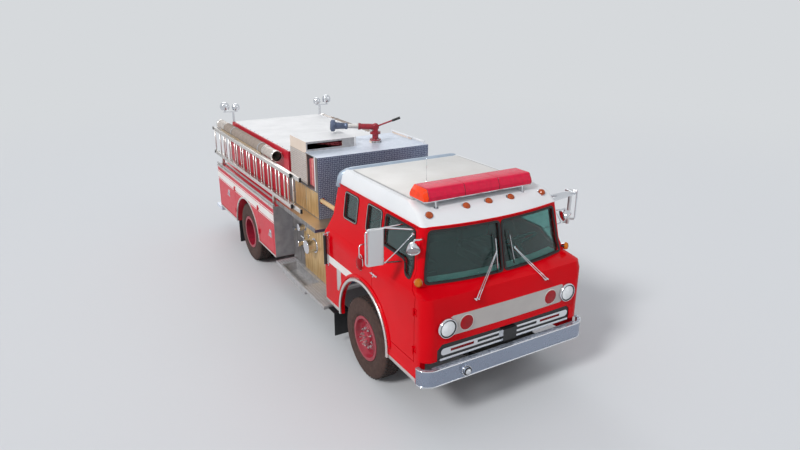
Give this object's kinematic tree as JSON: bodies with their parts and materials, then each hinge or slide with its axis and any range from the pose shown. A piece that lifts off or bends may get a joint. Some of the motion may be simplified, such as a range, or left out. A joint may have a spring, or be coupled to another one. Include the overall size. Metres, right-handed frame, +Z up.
{
  "type": "fire engine",
  "caption": "Tilt-cab pumper fire engine with crew cab, pump panels, hose bed, ladder rack, suction hoses, side lockers and a deck gun; doors open, wheels roll and steer.",
  "frame": {"origin": "on the ground under the middle of the vehicle", "axes": "+Z up, +Y to the rear, the front towards -Y, the left side towards +X"},
  "size_m": [3.02, 7.9, 2.8175],
  "materials": {
    "cab_red": "gloss enamel",
    "body_red": "faded gloss enamel",
    "roof_white": "gloss enamel",
    "window_glass": "clear, tinted",
    "cab_floor_paint": "satin",
    "seat_vinyl": "satin vinyl",
    "dash_plastic": "grained",
    "chrome": "polished",
    "lamp_lens": "clear red",
    "bright_aluminium": "polished",
    "treadplate": "embossed",
    "chassis_black": "satin",
    "cast_black": "painted",
    "tyre_rubber": "weathered",
    "wheel_red": "gloss enamel",
    "stainless": "brushed",
    "hose_jacket": "woven",
    "cover_vinyl": "coated",
    "hose_grey": "ribbed",
    "flap_rubber": "matt",
    "gun_red": "gloss enamel"
  },
  "bodies": {
    "chassis": {"frame_rails": "chassis_black", "front_axle": "cast_black", "rear_axle": "cast_black", "engine": "cast_black", "driveshaft": "chassis_black", "front_bumper": "chrome", "running_boards": "bright_aluminium", "pump_house": "stainless", "crosslay_hose": "hose_jacket", "pump_fittings": "chrome", "body_side_right": "body_red", "body_side_left": "body_red", "hosebed": "body_red", "hosebed_cover": "cover_vinyl", "tailboard": "treadplate", "suction_hoses": "hose_grey", "ladder": "bright_aluminium", "pike_poles": "bright_aluminium", "rear_lamps": "chrome", "grab_rails": "chrome", "mudflaps": "flap_rubber"},
    "cab": {"cab_body": "cab_red", "cab_greenhouse": "cab_red", "cab_roof": "roof_white", "cab_glass": "window_glass", "cab_floor": "cab_floor_paint", "cab_seats": "seat_vinyl", "dashboard": "dash_plastic", "grille": "chrome", "cab_lamps": "lamp_lens", "arch_trims": "bright_aluminium", "light_bar": "lamp_lens", "cab_handles": "chrome"},
    "monitor_base": {"monitor_base": "gun_red"},
    "monitor_barrel": {"monitor_barrel": "gun_red"},
    "door_right": {"door_right": "cab_red", "door_glass_right": "window_glass", "mirror_right": "chrome"},
    "knuckle_right": {"knuckle_right": "cast_black"},
    "front_wheel_right": {"front_tyre_right": "tyre_rubber", "front_rim_right": "wheel_red"},
    "rear_wheels_right": {"rear_tyres_right": "tyre_rubber", "rear_rims_right": "wheel_red"},
    "locker_door_front_right": {"locker_door_front_right": "body_red"},
    "locker_door_rear_right": {"locker_door_rear_right": "body_red"},
    "door_left": {"door_left": "cab_red", "door_glass_left": "window_glass", "mirror_left": "chrome"},
    "knuckle_left": {"knuckle_left": "cast_black"},
    "front_wheel_left": {"front_tyre_left": "tyre_rubber", "front_rim_left": "wheel_red"},
    "rear_wheels_left": {"rear_tyres_left": "tyre_rubber", "rear_rims_left": "wheel_red"},
    "locker_door_front_left": {"locker_door_front_left": "body_red"},
    "locker_door_rear_left": {"locker_door_rear_left": "body_red"}
  },
  "joints": [
    {"name": "cab_tilt", "type": "hinge", "parent": "chassis", "child": "cab", "pos_m": [0, -3.81, 0.705], "axis": [1, 0, 0], "range_deg": [0, 45]},
    {"name": "door_hinge_right", "type": "hinge", "parent": "cab", "child": "door_right", "pos_m": [-1.144, -3.634, 1.175], "axis": [0, 0, 1], "range_deg": [0, 70]},
    {"name": "steering_right", "type": "hinge", "parent": "chassis", "child": "knuckle_right", "pos_m": [-0.88, -2.51, 0.521], "axis": [0, 0, 1], "range_deg": [-32, 32]},
    {"name": "front_wheel_right", "type": "hinge", "parent": "knuckle_right", "child": "front_wheel_right", "pos_m": [-1.017, -2.51, 0.521], "axis": [1, 0, 0], "continuous": true},
    {"name": "rear_wheels_right", "type": "hinge", "parent": "chassis", "child": "rear_wheels_right", "pos_m": [-0.8935, 1.854, 0.521], "axis": [1, 0, 0], "continuous": true},
    {"name": "locker_hinge_front_right", "type": "hinge", "parent": "chassis", "child": "locker_door_front_right", "pos_m": [-1.222, 1.176, 0.97], "axis": [0, 0, -1], "range_deg": [0, 110]},
    {"name": "locker_hinge_rear_right", "type": "hinge", "parent": "chassis", "child": "locker_door_rear_right", "pos_m": [-1.222, 2.489, 0.97], "axis": [0, 0, 1], "range_deg": [0, 110]},
    {"name": "door_hinge_left", "type": "hinge", "parent": "cab", "child": "door_left", "pos_m": [1.144, -3.634, 1.175], "axis": [0, 0, -1], "range_deg": [0, 70]},
    {"name": "steering_left", "type": "hinge", "parent": "chassis", "child": "knuckle_left", "pos_m": [0.88, -2.51, 0.521], "axis": [0, 0, 1], "range_deg": [-32, 32]},
    {"name": "front_wheel_left", "type": "hinge", "parent": "knuckle_left", "child": "front_wheel_left", "pos_m": [1.017, -2.51, 0.521], "axis": [1, 0, 0], "continuous": true},
    {"name": "rear_wheels_left", "type": "hinge", "parent": "chassis", "child": "rear_wheels_left", "pos_m": [0.8935, 1.854, 0.521], "axis": [1, 0, 0], "continuous": true},
    {"name": "locker_hinge_front_left", "type": "hinge", "parent": "chassis", "child": "locker_door_front_left", "pos_m": [1.222, 1.176, 0.97], "axis": [0, 0, 1], "range_deg": [0, 110]},
    {"name": "locker_hinge_rear_left", "type": "hinge", "parent": "chassis", "child": "locker_door_rear_left", "pos_m": [1.222, 2.489, 0.97], "axis": [0, 0, -1], "range_deg": [0, 110]},
    {"name": "monitor_swivel", "type": "hinge", "parent": "chassis", "child": "monitor_base", "pos_m": [0.3, -0.18, 2.5], "axis": [0, 0, 1], "continuous": true},
    {"name": "monitor_elevation", "type": "hinge", "parent": "monitor_base", "child": "monitor_barrel", "pos_m": [0.3, -0.18, 2.635], "axis": [0.4181, 0.9084, 0], "range_deg": [0, 45]}
  ],
  "couplings": [
    {"joint": "steering_left", "follows": "steering_right", "ratio": 1}
  ]
}
